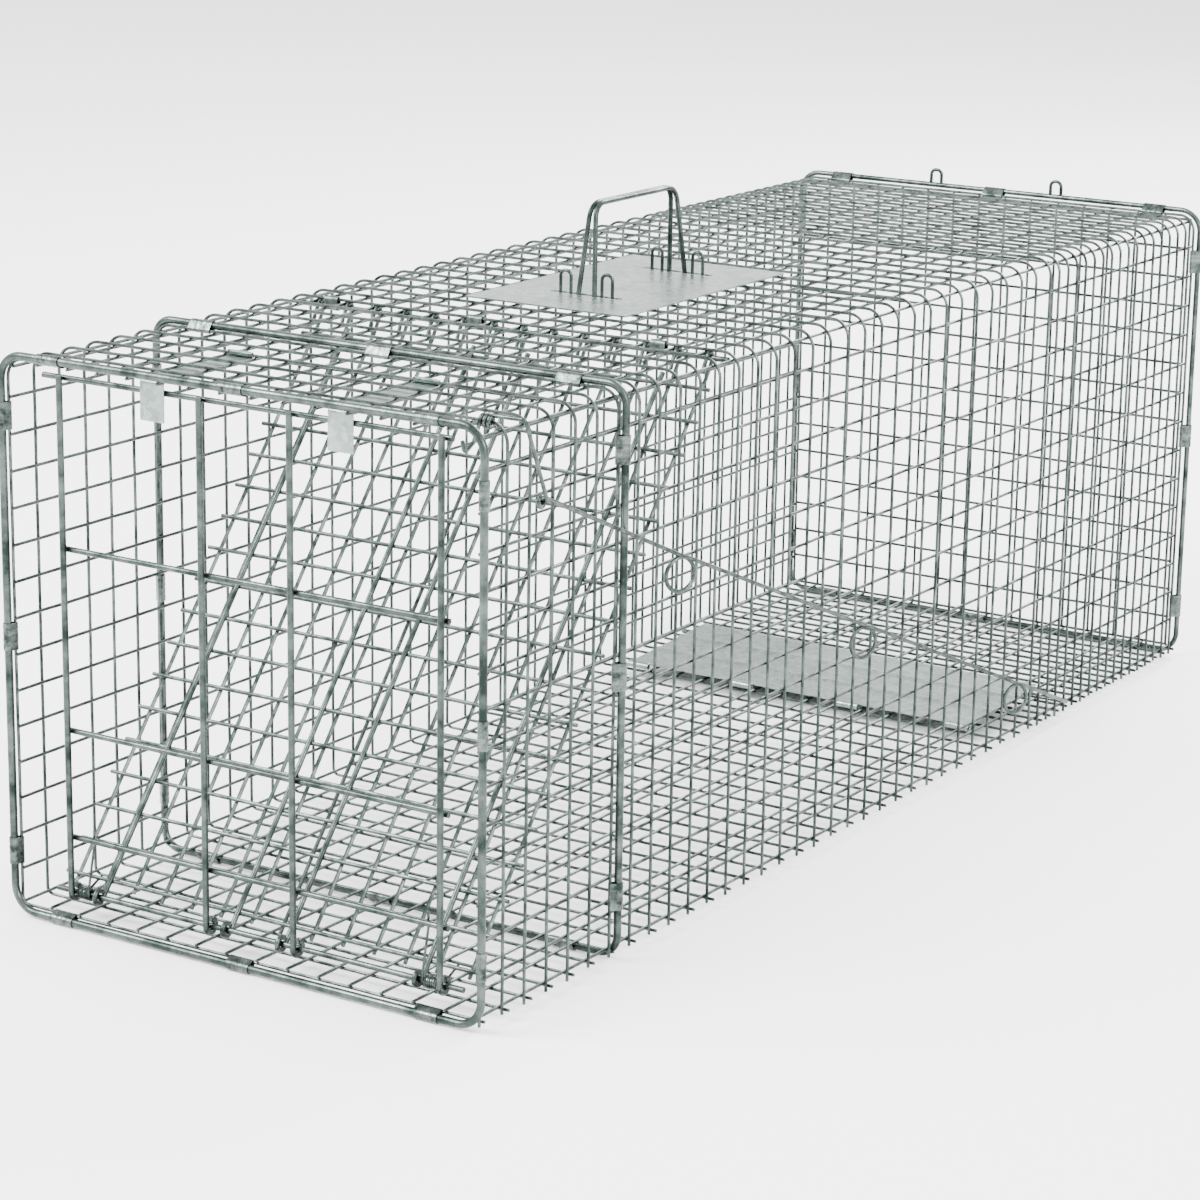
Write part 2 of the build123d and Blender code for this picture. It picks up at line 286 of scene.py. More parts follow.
class Shape:
    """Vertices and faces of a piece that is being built."""

    def __init__(self):
        self.vertices = []
        self.faces = []

    def loft(self, rings, closed=False, capped=True):
        """Join rings of equal count into a skin."""
        base = len(self.vertices)
        sides = len(rings[0])
        for ring in rings:
            self.vertices.extend(ring)
        spans = len(rings) if closed else len(rings) - 1
        for row in range(spans):
            here = base + row * sides
            there = base + (row + 1) % len(rings) * sides
            for side in range(sides):
                after = (side + 1) % sides
                self.faces.append((here + side, here + after, there + after, there + side))
        if capped and not closed:
            last = base + (len(rings) - 1) * sides
            self.faces.append(tuple(range(base + sides - 1, base - 1, -1)))
            self.faces.append(tuple(range(last, last + sides)))

    def wire(self, line, diameter, sides=10, closed=False):
        """Add a round wire along a line, with its cut ends rounded off."""
        count = len(line)
        radius = diameter / 2
        normal = None
        rings = []
        for index, point in enumerate(line):
            before = line[index - 1] if closed or index else point
            after = line[(index + 1) % count] if closed or index < count - 1 else point
            tangent = (after - before).normalized()
            if normal is None:
                normal = tangent.orthogonal()
            normal = (normal - tangent * normal.dot(tangent)).normalized()
            side = tangent.cross(normal)
            if not closed and index == 0:
                rings.append(self.round_end(point, -tangent, normal, side, radius, sides))
            rings.append(self.ring(point, normal, side, radius, sides))
            if not closed and index == count - 1:
                rings.append(self.round_end(point, tangent, normal, side, radius, sides))
        self.loft(rings, closed)

    def ring(self, point, normal, side, radius, sides):
        """One round section of a wire."""
        places = []
        for number in range(sides):
            angle = math.tau * number / sides
            places.append(point + (normal * math.cos(angle) + side * math.sin(angle)) * radius)
        return places

    def round_end(self, point, outward, normal, side, radius, sides):
        """The smaller section that closes a wire."""
        return self.ring(point + outward * radius * 0.35, normal, side, radius * 0.72, sides)

    def strip(self, line, width_axis, width, thickness):
        """Add a bent strip of sheet whose middle follows a line."""
        rings = []
        count = len(line)
        chamfer = thickness * 0.25
        for index, point in enumerate(line):
            before = line[index - 1] if index else point
            after = line[index + 1] if index < count - 1 else point
            tangent = (after - before).normalized()
            face = tangent.cross(width_axis).normalized()
            half = width / 2
            thick = thickness / 2
            section = (
                (half - chamfer, thick),
                (half, thick - chamfer),
                (half, chamfer - thick),
                (half - chamfer, -thick),
                (chamfer - half, -thick),
                (-half, chamfer - thick),
                (-half, thick - chamfer),
                (chamfer - half, thick),
            )
            rings.append([point + width_axis * wide + face * high for wide, high in section])
        self.loft(rings)

    def piece(self, name, body, finish, replaced=(), flat=30.0):
        """Make the object, hang it on its body's empty, and hide the CAD parts it stands for."""
        mesh = bpy.data.meshes.new(name)
        mesh.from_pydata(self.vertices, [], self.faces)
        mesh.update()
        mesh.shade_smooth()
        mesh.set_sharp_from_angle(angle=math.radians(flat))
        mesh.materials.append(finish)
        made = bpy.data.objects.new(name, mesh)
        bpy.context.scene.collection.objects.link(made)
        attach(made, body)
        if replaced:
            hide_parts(*replaced)
        return made


# ------------------------------------------------------------------ finishes
def new_group(name, inputs, outputs):
    """An empty shader node group with named sockets."""
    group = bpy.data.node_groups.new(name, "ShaderNodeTree")
    for label, kind, value in inputs:
        socket = group.interface.new_socket(label, in_out="INPUT", socket_type=kind)
        socket.default_value = value
    for label, kind in outputs:
        group.interface.new_socket(label, in_out="OUTPUT", socket_type=kind)
    return group


def node(tree, kind, place, **values):
    """A node with its place and settings."""
    made = tree.nodes.new(kind)
    made.location = place
    for label, value in values.items():
        setattr(made, label, value)
    return made


def noise(tree, place, coordinates, scale, detail, rough):
    """A noise texture on the given coordinates. Scale is a socket or a number."""
    texture = node(tree, "ShaderNodeTexNoise", place)
    texture.inputs["Detail"].default_value = detail
    texture.inputs["Roughness"].default_value = rough
    tree.links.new(coordinates, texture.inputs["Vector"])
    if isinstance(scale, (int, float)):
        texture.inputs["Scale"].default_value = scale
    else:
        tree.links.new(scale, texture.inputs["Scale"])
    return texture.outputs["Fac"]


def remap(tree, place, value, low, high, new_low=0.0, new_high=1.0):
    """A value stretched from one range to another."""
    ranger = node(tree, "ShaderNodeMapRange", place)
    ranger.inputs["From Min"].default_value = low
    ranger.inputs["From Max"].default_value = high
    ranger.inputs["To Min"].default_value = new_low
    ranger.inputs["To Max"].default_value = new_high
    tree.links.new(value, ranger.inputs["Value"])
    return ranger.outputs["Result"]


def mix_colour(tree, place, amount, first, second):
    """A mix of two colours, each a socket or a fixed colour."""
    mixer = node(tree, "ShaderNodeMix", place, data_type="RGBA")
    tree.links.new(amount, mixer.inputs["Factor"])
    for socket, source in zip(MIX_COLOURS, (first, second)):
        if isinstance(source, tuple):
            mixer.inputs[socket].default_value = source
        else:
            tree.links.new(source, mixer.inputs[socket])
    return mixer.outputs[MIX_RESULT]


def math_node(tree, place, operation, first, second):
    """Arithmetic on a socket and a socket or number."""
    made = node(tree, "ShaderNodeMath", place, operation=operation)
    tree.links.new(first, made.inputs[0])
    if isinstance(second, (int, float)):
        made.inputs[1].default_value = second
    else:
        tree.links.new(second, made.inputs[1])
    return made.outputs[0]


def zinc_bloom():
    """Cloudy patches and fine grain of hot dipped zinc."""
    if "zinc_bloom" in bpy.data.node_groups:
        return bpy.data.node_groups["zinc_bloom"]
    group = new_group(
        "zinc_bloom",
        (
            ("Bright", "NodeSocketColor", (0.5, 0.5, 0.5, 1.0)),
            ("Dull", "NodeSocketColor", (0.3, 0.3, 0.3, 1.0)),
            ("Patch Scale", "NodeSocketFloat", 60.0),
            ("Grain Scale", "NodeSocketFloat", 900.0),
            ("Roughness", "NodeSocketFloat", 0.4),
        ),
        (
            ("Colour", "NodeSocketColor"),
            ("Roughness", "NodeSocketFloat"),
            ("Height", "NodeSocketFloat"),
        ),
    )
    source = node(group, "NodeGroupInput", (-900, 0))
    result = node(group, "NodeGroupOutput", (700, 0))
    place = node(group, "ShaderNodeTexCoord", (-900, 300)).outputs["Object"]
    patches = noise(group, (-600, 200), place, source.outputs["Patch Scale"], 5.0, 0.62)
    grain = noise(group, (-600, -100), place, source.outputs["Grain Scale"], 3.0, 0.7)
    clouds = remap(group, (-350, 200), patches, 0.36, 0.66)
    colour = mix_colour(
        group, (-100, 200), clouds, source.outputs["Dull"], source.outputs["Bright"]
    )
    speck = remap(group, (-350, -100), grain, 0.3, 0.7, -0.10, 0.12)
    worn = remap(group, (-350, -350), patches, 0.3, 0.7, 0.10, -0.08)
    rough = math_node(group, (-100, -100), "ADD", speck, source.outputs["Roughness"])
    rough = math_node(group, (100, -100), "ADD", rough, worn)
    height = math_node(group, (100, -300), "MULTIPLY_ADD", patches, 0.5)
    group.links.new(grain, height.node.inputs[2])
    group.links.new(colour, result.inputs["Colour"])
    group.links.new(rough, result.inputs["Roughness"])
    group.links.new(height, result.inputs["Height"])
    return group


def sheet_spangle():
    """Crystals of galvanised sheet, lighter and darker, with fine borders."""
    if "sheet_spangle" in bpy.data.node_groups:
        return bpy.data.node_groups["sheet_spangle"]
    group = new_group(
        "sheet_spangle",
        (
            ("Bright", "NodeSocketColor", (0.7, 0.7, 0.7, 1.0)),
            ("Dull", "NodeSocketColor", (0.5, 0.5, 0.5, 1.0)),
            ("Crystal Scale", "NodeSocketFloat", 160.0),
            ("Contrast", "NodeSocketFloat", 0.6),
            ("Roughness", "NodeSocketFloat", 0.35),
        ),
        (
            ("Colour", "NodeSocketColor"),
            ("Roughness", "NodeSocketFloat"),
            ("Height", "NodeSocketFloat"),
        ),
    )
    source = node(group, "NodeGroupInput", (-1100, 0))
    result = node(group, "NodeGroupOutput", (800, 0))
    place = node(group, "ShaderNodeTexCoord", (-1100, 300)).outputs["Object"]
    warp = node(group, "ShaderNodeTexNoise", (-900, 300))
    warp.inputs["Scale"].default_value = 220.0
    warp.inputs["Detail"].default_value = 3.0
    group.links.new(place, warp.inputs["Vector"])
    shift = node(group, "ShaderNodeVectorMath", (-700, 300), operation="MULTIPLY_ADD")
    shift.inputs[1].default_value = (0.006, 0.006, 0.006)
    group.links.new(warp.outputs["Color"], shift.inputs[0])
    group.links.new(place, shift.inputs[2])
    crystals = node(group, "ShaderNodeTexVoronoi", (-450, 300))
    group.links.new(shift.outputs["Vector"], crystals.inputs["Vector"])
    group.links.new(source.outputs["Crystal Scale"], crystals.inputs["Scale"])
    shade = node(group, "ShaderNodeSeparateColor", (-200, 300))
    group.links.new(crystals.outputs["Color"], shade.inputs["Color"])
    borders = node(group, "ShaderNodeTexVoronoi", (-450, -50), feature="DISTANCE_TO_EDGE")
    group.links.new(shift.outputs["Vector"], borders.inputs["Vector"])
    group.links.new(source.outputs["Crystal Scale"], borders.inputs["Scale"])
    cloud = noise(group, (-450, -350), place, 35.0, 4.0, 0.6)
    lift = remap(group, (0, 80), cloud, 0.3, 0.7, 0.0, 0.5)
    tone = math_node(group, (0, 300), "MULTIPLY", shade.outputs["Red"], source.outputs["Contrast"])
    tone = math_node(group, (150, 300), "ADD", tone, lift)
    colour = mix_colour(
        group, (350, 300), tone, source.outputs["Dull"], source.outputs["Bright"]
    )
    rim = remap(group, (-200, -50), borders.outputs["Distance"], 0.0, 0.06)
    rough = remap(group, (0, -200), shade.outputs["Green"], 0.0, 1.0, -0.09, 0.10)
    rough = math_node(group, (350, -100), "ADD", rough, source.outputs["Roughness"])
    height = math_node(group, (350, -300), "MULTIPLY_ADD", shade.outputs["Blue"], 0.6)
    group.links.new(rim, height.node.inputs[2])
    group.links.new(colour, result.inputs["Colour"])
    group.links.new(rough, result.inputs["Roughness"])
    group.links.new(height, result.inputs["Height"])
    return group


def rub_marks():
    """Faint dark rubs and handling stains that lie over a metal colour."""
    if "rub_marks" in bpy.data.node_groups:
        return bpy.data.node_groups["rub_marks"]
    group = new_group(
        "rub_marks",
        (
            ("Colour", "NodeSocketColor", (0.5, 0.5, 0.5, 1.0)),
            ("Stain", "NodeSocketColor", (0.12, 0.14, 0.13, 1.0)),
            ("Amount", "NodeSocketFloat", 0.4),
            ("Mark Scale", "NodeSocketFloat", 25.0),
        ),
        (("Colour", "NodeSocketColor"), ("Mask", "NodeSocketFloat")),
    )
    source = node(group, "NodeGroupInput", (-900, 0))
    result = node(group, "NodeGroupOutput", (500, 0))
    place = node(group, "ShaderNodeTexCoord", (-900, 300)).outputs["Object"]
    marks = noise(group, (-600, 100), place, source.outputs["Mark Scale"], 7.0, 0.72)
    mask = remap(group, (-350, 100), marks, 0.52, 0.75)
    mask = math_node(group, (-100, 100), "MULTIPLY", mask, source.outputs["Amount"])
    colour = mix_colour(group, (150, 100), mask, source.outputs["Colour"], source.outputs["Stain"])
    group.links.new(colour, result.inputs["Colour"])
    group.links.new(mask, result.inputs["Mask"])
    return group


def metal(name, group, settings, stains, bump):
    """A metal finish from one surface group with rub marks over it."""
    if name in bpy.data.materials:
        return bpy.data.materials[name]
    made = bpy.data.materials.new(name)
    made.use_nodes = True
    tree = made.node_tree
    shader = tree.nodes["Principled BSDF"]
    shader.inputs["Metallic"].default_value = 1.0
    surface = node(tree, "ShaderNodeGroup", (-700, 200), node_tree=group)
    for label, value in settings.items():
        if not isinstance(value, float):
            value = (*value, 1.0)
        surface.inputs[label].default_value = value
    rubs = node(tree, "ShaderNodeGroup", (-400, 250), node_tree=rub_marks())
    rubs.inputs["Amount"].default_value = stains
    tree.links.new(surface.outputs["Colour"], rubs.inputs["Colour"])
    tree.links.new(rubs.outputs["Colour"], shader.inputs["Base Color"])
    tree.links.new(surface.outputs["Roughness"], shader.inputs["Roughness"])
    relief = node(tree, "ShaderNodeBump", (-300, -200))
    relief.inputs["Strength"].default_value = bump
    relief.inputs["Distance"].default_value = 0.15 * MM
    tree.links.new(surface.outputs["Height"], relief.inputs["Height"])
    tree.links.new(relief.outputs["Normal"], shader.inputs["Normal"])
    return made


def wire_finish(name, roughness, patch_scale, bump, stains):
    """Zinc on drawn wire."""
    colours = bpy.context.scene.trap_colours
    settings = {
        "Bright": tuple(colours.zinc_bright),
        "Dull": tuple(colours.zinc_dull),
        "Patch Scale": patch_scale,
        "Roughness": roughness,
    }
    return metal(name, zinc_bloom(), settings, stains, bump)


def mesh_zinc():
    """Finish of the welded mesh."""
    return wire_finish("mesh_zinc", 0.30, 75.0, 0.4, 0.6)


def rod_zinc():
    """Finish of the hoops, the brace and the other thick rods."""
    return wire_finish("rod_zinc", 0.30, 55.0, 0.5, 0.5)


def spring_zinc():
    """Finish of the springs, the lever and the link rod."""
    return wire_finish("spring_zinc", 0.24, 90.0, 0.3, 0.35)


def handle_zinc():
    """Finish of the handle and its staples."""
    return wire_finish("handle_zinc", 0.25, 45.0, 0.3, 0.25)


def clip_zinc():
    """Finish of the crimped clips."""
    colours = bpy.context.scene.trap_colours
    settings = {
        "Bright": tuple(colours.clip_bright),
        "Dull": tuple(colours.zinc_dull),
        "Patch Scale": 140.0,
        "Roughness": 0.30,
    }
    return metal("clip_zinc", zinc_bloom(), settings, 0.3, 0.5)


def sheet_zinc():
    """Finish of the pan, the strips and the guard plate."""
    colours = bpy.context.scene.trap_colours
    settings = {
        "Bright": tuple(colours.plate_bright),
        "Dull": tuple(colours.plate_dull),
        "Crystal Scale": 230.0,
        "Contrast": 0.7,
        "Roughness": 0.33,
    }
    return metal("sheet_zinc", sheet_spangle(), settings, 0.12, 0.25)


# ------------------------------------------------------------------ operators
class TRAP_OT_cage_mesh(bpy.types.Operator):
    """Build the welded mesh that wraps the floor, walls and roof"""

    bl_idname = "trap.cage_mesh"
    bl_label = "Cage Mesh"

    def execute(self, context):
        sizes = context.scene.trap_sizes
        rng = random.Random(7)
        diameter = sizes.mesh_wire
        inset = LAYER * diameter
        rows = [along(number) for number in range(WIDE_ROWS + 1)]
        close = (REAR_Y - rows[-1]) / CLOSE_ROWS
        rows += [rows[-1] + close * (number + 1) for number in range(CLOSE_ROWS)]
        hoops = Shape()
        for number, y in enumerate(rows):
            self.hoop_wire(hoops, sizes, y, inset, rng)
        stood_for = ("left_wall_mesh", "roof_mesh")
        hoops.piece("cage_wires_round", "cage", mesh_zinc(), stood_for)
        runs = Shape()
        for x, z in self.run_places(sizes, inset):
            line = []
            for number, y in enumerate(rows):
                stray = Vector((rng.uniform(-1, 1), 0.0, rng.uniform(-1, 1))) * sizes.wander
                line.append(Vector((x, y, z)) + stray)
            line[0].y -= rng.uniform(0.6, 1.4) * MM
            line[-1].y += rng.uniform(0.2, 0.9) * MM
            runs.wire(line, diameter)
        stood_for = ("right_wall_mesh", "floor_mesh")
        runs.piece("cage_wires_long", "cage", mesh_zinc(), stood_for)
        return {"FINISHED"}

    def hoop_wire(self, shape, sizes, y, inset, rng):
        """One wire round all four sides, whose ends cross at the lower right edge."""
        side = WALL_X + inset
        top = ROOF_Z + inset
        bottom = FLOOR_Z - inset
        tail = rng.uniform(2.2, 4.2) * MM
        reach = rng.uniform(2.0, 4.4) * MM
        corners = [
            Vector((side, y - 1.2 * MM, bottom - tail)),
            Vector((side, y, top)),
            Vector((-side, y, top)),
            Vector((-side, y, bottom)),
            Vector((side + reach, y + 1.2 * MM, bottom)),
        ]
        line = []
        tight = 2.2 * sizes.mesh_wire
        radii = (0.0, sizes.mesh_bend, sizes.mesh_bend, tight, 0.0)
        shaped = bend(corners, radii, steps=7)
        for first, second in zip(shaped, shaped[1:]):
            line.append(first)
            length = (second - first).length
            if length > PITCH:
                cells = round(length / PITCH)
                for cell in range(1, cells):
                    stray = Vector([rng.uniform(-1, 1) for _ in range(3)]) * sizes.wander
                    line.append(first.lerp(second, cell / cells) + stray)
        line.append(shaped[-1])
        shape.wire(line, sizes.mesh_wire)

    def run_places(self, sizes, inset):
        """X and Z of every long wire, corners included."""
        side = WALL_X - inset
        tuck = sizes.mesh_bend * (1 - math.sqrt(0.5)) + 0.35 * MM
        places = []
        for cell in range(1, CELLS_WIDE):
            places.append((across(cell), FLOOR_Z + inset))
            places.append((across(cell), ROOF_Z - inset))
            places.append((side, up(cell)))
            places.append((-side, up(cell)))
        for x_sign in (-1, 1):
            places.append((x_sign * (side - tuck * 0.75), ROOF_Z - inset - tuck * 0.75))
        places.append((0.7 * MM - side, FLOOR_Z + inset + 0.7 * MM))
        places.append((side, FLOOR_Z + inset))
        return places


class TRAP_OT_rear_panel(bpy.types.Operator):
    """Build the flat mesh panel that closes the rear end"""

    bl_idname = "trap.rear_panel"
    bl_label = "Rear Panel"

    def execute(self, context):
        sizes = context.scene.trap_sizes
        rng = random.Random(11)
        diameter = sizes.mesh_wire
        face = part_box("rear_frame")[0].y - diameter / 2
        shrink = 0.987
        centre = Vector((0.0, 0.0, up(CELLS_WIDE / 2)))
        panel = Shape()
        for cell in range(CELLS_WIDE + 1):
            for flat in (True, False):
                line = []
                for step in range(CELLS_WIDE + 1):
                    stray = rng.uniform(-1, 1) * sizes.wander
                    if flat:
                        spot = (across(step), face, up(cell) + stray)
                    else:
                        spot = (across(cell) + stray, face - diameter * 0.96, up(step))
                    line.append(Vector(spot))
                for index, point in enumerate(line):
                    shrunk = centre + (point - centre) * shrink
                    line[index] = Vector((shrunk.x, point.y, shrunk.z))
                panel.wire(line, diameter)
        panel.piece("rear_panel_wires", "cage", mesh_zinc(), ("rear_wall_mesh",))
        return {"FINISHED"}


class TRAP_OT_second_hoop(bpy.types.Operator):
    """Build the second hoop, with the bend of a real rod"""

    bl_idname = "trap.second_hoop"
    bl_label = "Second Hoop"

    def execute(self, context):
        sizes = context.scene.trap_sizes
        low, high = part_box("second_hoop")
        diameter = high.y - low.y
        half = diameter / 2
        y = (low.y + high.y) / 2
        corners = [
            Vector((high.x - half, y, low.z + half)),
            Vector((high.x - half, y, high.z - half)),
            Vector((low.x + half, y, high.z - half)),
            Vector((low.x + half, y, low.z + half)),
        ]
        hoop = Shape()
        line = bend(corners, sizes.hoop_bend, closed=True, steps=10)
        hoop.wire(line, diameter, 20, closed=True)
        hoop.piece("second_hoop_rod", "cage", rod_zinc(), ("second_hoop",))
        return {"FINISHED"}


class TRAP_OT_clips(bpy.types.Operator):
    """Build the crimped clips that hold the mesh to the hoops"""

    bl_idname = "trap.clips"
    bl_label = "Crimped Clips"

    def execute(self, context):
        sizes = context.scene.trap_sizes
        jobs = (
            ("front_hoop", "front_hoop_clips", along(0)),
            ("second_hoop", "second_hoop_clips", along(SECOND_HOOP_CELLS)),
            ("rear_frame", "rear_frame_clips", REAR_Y),
        )
        for rod, clips, wire_y in jobs:
            low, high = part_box(rod)
            radius = (high.y - low.y) / 2
            y = (low.y + high.y) / 2
            reach = high.x - radius
            centre_z = (low.z + high.z) / 2
            shape = Shape()
            for cells in CLIP_CELLS:
                shift = across(cells)
                for outward, run in (
                    (Z_AXIS, X_AXIS),
                    (-Z_AXIS, X_AXIS),
                    (X_AXIS, Z_AXIS),
                    (-X_AXIS, Z_AXIS),
                ):
                    middle_point = Vector((0, y, centre_z)) + outward * reach + run * shift
                    mesh_point = Vector((0, wire_y, centre_z)) + run * shift
                    mesh_point += outward * (WALL_X + sizes.mesh_wire * LAYER)
                    self.ferrule(shape, sizes, middle_point, mesh_point, run, radius)
            shape.piece(f"{rod}_ferrules", "cage", clip_zinc(), (clips,))
        return {"FINISHED"}

    def ferrule(self, shape, sizes, rod_point, mesh_point, run, radius):
        """One sleeve of sheet pressed round the rod and the nearest mesh wire."""
        toward = mesh_point - rod_point
        distance = toward.length
        toward.normalize()
        side = run.cross(toward)
        clearance = 0.2 * MM
        sheet = 0.6 * MM
        big = radius + clearance + sheet
        small = sizes.mesh_wire / 2 + clearance + sheet
        presses = (0.27, 0.5, 0.73)
        press_width = 0.035
        stations = 25
        rings = []
        inner_rings = []
        for station in range(stations):
            share = station / (stations - 1)
            place = (share - 0.5) * sizes.clip_length
            press = sum(math.exp(-(((share - spot) / press_width) ** 2)) for spot in presses)
            squeeze = 1.0 - 0.075 * press
            if station in (0, stations - 1):
                squeeze = 0.97
            centre = rod_point + run * place
            rings.append(self.belt(centre, toward, side, distance, big * squeeze, small * squeeze))
            inner = (big * squeeze - sheet, small * squeeze - sheet)
            inner_rings.append(self.belt(centre, toward, side, distance, *inner))
        shape.loft([inner_rings[0], *rings, inner_rings[-1]], capped=False)
        shape.loft(inner_rings[::-1], capped=False)

    def belt(self, centre, toward, side, distance, big, small):
        """A loop drawn tight round two circles."""
        lean = math.acos((big - small) / distance)
        points = []
        rod_steps = 16
        wire_steps = 8
        for step in range(rod_steps + 1):
            angle = lean + (math.tau - 2 * lean) * step / rod_steps
            points.append(centre + (toward * math.cos(angle) + side * math.sin(angle)) * big)
        for step in range(wire_steps + 1):
            angle = -lean + 2 * lean * step / wire_steps
            spoke = toward * math.cos(angle) + side * math.sin(angle)
            points.append(centre + toward * distance + spoke * small)
        return points


class TRAP_OT_door(bpy.types.Operator):
    """Build the sloping door of welded wires with hooked upper ends"""

    bl_idname = "trap.door"
    bl_label = "Sloping Door"

    def execute(self, context):
        sizes = context.scene.trap_sizes
        rng = random.Random(23)
        hinge = middle("roof_hinge_rod")
        foot = Vector((0.0, PIVOT.y, PIVOT.z))
        top = Vector((0.0, hinge.y, hinge.z))
        slope = (top - foot).normalized()
        front = X_AXIS.cross(slope)
        length = (top - foot).length
        depth = 7.4 * MM
        diameter = sizes.door_wire
        layer = diameter * LAYER
        first_rung = 14.5 * MM

        def place(x, rise, out):
            return foot + Vector((x, 0, 0)) + slope * rise + front * out

        door = Shape()
        rungs = 18
        for rung in range(rungs):
            rise = first_rung + rung * PITCH
            left = across(0.7) - rng.uniform(0.0, 1.2) * MM
            right = -left + rng.uniform(-1.0, 0.4) * MM
            line = []
            for step in range(15):
                x = left + (right - left) * step / 14
                stray = rng.uniform(-1, 1) * sizes.wander
                line.append(place(x, rise + stray, layer - depth))
            door.wire(line, diameter)
        hook = 3.6 * MM
        lean = 3.0 * MM
        for cell in range(1, CELLS_WIDE):
            x = across(cell)
            line = [place(x, first_rung - rng.uniform(3.5, 6.0) * MM, -layer - depth)]
            for rung in range(rungs):
                stray = rng.uniform(-1, 1) * sizes.wander
                line.append(place(x + stray, first_rung + rung * PITCH, -layer - depth))
            line.append(place(x + lean * 0.3, length - 13 * MM, -layer - depth + 0.6 * MM))
            line.append(place(x + lean * 0.8, length - 6 * MM, -hook - 1.6 * MM))
            for degrees in range(-80, 101, 18):
                angle = math.radians(degrees)
                out = hook * math.sin(angle)
                line.append(place(x + lean, length + hook * math.cos(angle), out))
            line.append(place(x + lean, length - 8 * MM, hook - 0.5 * MM))
            line.append(place(x + lean, length - 13 * MM, hook - 2.2 * MM))
            door.wire(line, diameter)
        door.piece("door_wires", "door", mesh_zinc(), ("door_mesh",))
        return {"FINISHED"}


class TRAP_OT_hinge_clips(bpy.types.Operator):
    """Build the clips that hang the door's rod under the roof"""

    bl_idname = "trap.hinge_clips"
    bl_label = "Hinge Rod Clips"

    def execute(self, context):
        hinge = middle("roof_hinge_rod")
        shape = Shape()
        roof_wire_z = ROOF_Z + 1.1 * MM
        for cells in HINGE_CLIP_CELLS:
            x = across(cells)
            rod = Vector((x, hinge.y, hinge.z))
            wrap = 2.55 * MM
            line = arc(rod, rod + Vector((0, wrap, 0)), X_AXIS, -180, 10)
            line = [Vector((x, hinge.y + 2.1 * MM, roof_wire_z))] + line
            line.append(Vector((x, hinge.y - 2.1 * MM, roof_wire_z)))
            line += arc(
                Vector((x, hinge.y, roof_wire_z)),
                Vector((x, hinge.y - 1.9 * MM, roof_wire_z)),
                X_AXIS,
                -150,
                8,
            )[1:]
            shape.strip(line, X_AXIS, 12 * MM, 0.7 * MM)
        shape.piece("hinge_rod_clips", "cage", clip_zinc())
        return {"FINISHED"}


class TRAP_OT_torsion_springs(bpy.types.Operator):
    """Build the two close coils that press the door down"""

    bl_idname = "trap.torsion_springs"
    bl_label = "Torsion Springs"

    def execute(self, context):
        sizes = context.scene.trap_sizes
        bar = middle("brace_crossbar_low")
        wire = sizes.spring_wire
        for side, sign in (("left", -1), ("right", 1)):
            name = f"{side}_torsion_spring"
            low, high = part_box(name)
            centre = (low + high) / 2
            radius = high.z - centre.z - wire / 2
            turns = sizes.spring_turns
            width = high.x - low.x - wire
            coil = []
            steps = turns * 16
            for step in range(steps + 1):
                angle = math.tau * turns * step / steps + math.pi
                x = centre.x + sign * width * (step / steps - 0.5)
                ring = Vector((0, math.cos(angle), math.sin(angle))) * radius
                coil.append(Vector((x, centre.y, centre.z)) + ring)
            first = coil[0]
            last = coil[-1]
            upright = [
                Vector((first.x, bar.y + 3.4 * MM, bar.z - 4 * MM)),
                Vector((first.x, bar.y + 3.4 * MM, bar.z + 7 * MM)),
            ]
            leg_up = [upright[1], upright[0], first + Vector((0, 0, 5 * MM))]
            leg_out = [
                last - Vector((0, 0, 2.6 * MM)),
                last + Vector((0, 8 * MM, -2.2 * MM)),
                last + Vector((0, 26 * MM, 6 * MM)),
            ]
            spring = Shape()
            spring.wire(bend(leg_up + coil + leg_out, 1.2 * MM, steps=2), wire, 10)
            spring.piece(f"{side}_spring_coil", "brace", spring_zinc(), (name,))
        return {"FINISHED"}


class TRAP_OT_trigger_lever(bpy.types.Operator):
    """Build the bent wire lever that holds the door open"""

    bl_idname = "trap.trigger_lever"
    bl_label = "Trigger Lever"

    def execute(self, context):
        sizes = context.scene.trap_sizes
        wire = sizes.lever_wire
        low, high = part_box("trigger_lever")
        arm_x = high.x - wire / 2
        hook_x = low.x + wire / 2
        radius = 3.8 * MM
        coil_start = 173.2 * MM
        coil_width = 7.4 * MM
        axle = Vector((0, LEVER_AXLE.y, LEVER_AXLE.z))
        coil = []
        turns = 2.25
        steps = 44
        for step in range(steps + 1):
            share = step / steps
            angle = math.pi - math.tau * turns * share
            ring = Vector((0, math.cos(angle), math.sin(angle))) * radius
            coil.append(axle + ring + Vector((coil_start + coil_width * share, 0, 0)))
        hook = [
            Vector((hook_x, axle.y - radius - 12 * MM, up(14.6))),
            Vector((hook_x, axle.y - radius - 10 * MM, up(14.3))),
            Vector((hook_x, axle.y - radius, up(14.5))),
            Vector((coil_start, axle.y - radius, axle.z - 1.5 * MM)),
        ]
        arm = [
            Vector((arm_x, axle.y + 1.0 * MM, axle.z + radius)),
            Vector((arm_x, LEVER_PIN.y, LEVER_PIN.z)),
            Vector((WALL_X + 5.5 * MM, LEVER_PIN.y, LEVER_PIN.z)),
        ]
        lever = Shape()
        line = bend(hook, 2.4 * MM) + coil[1:-1] + bend([coil[-1]] + arm, 2.6 * MM)
        lever.wire(line, wire, 14)
        lever.piece("lever_wire", "lever", spring_zinc(), ("trigger_lever",))
        return {"FINISHED"}


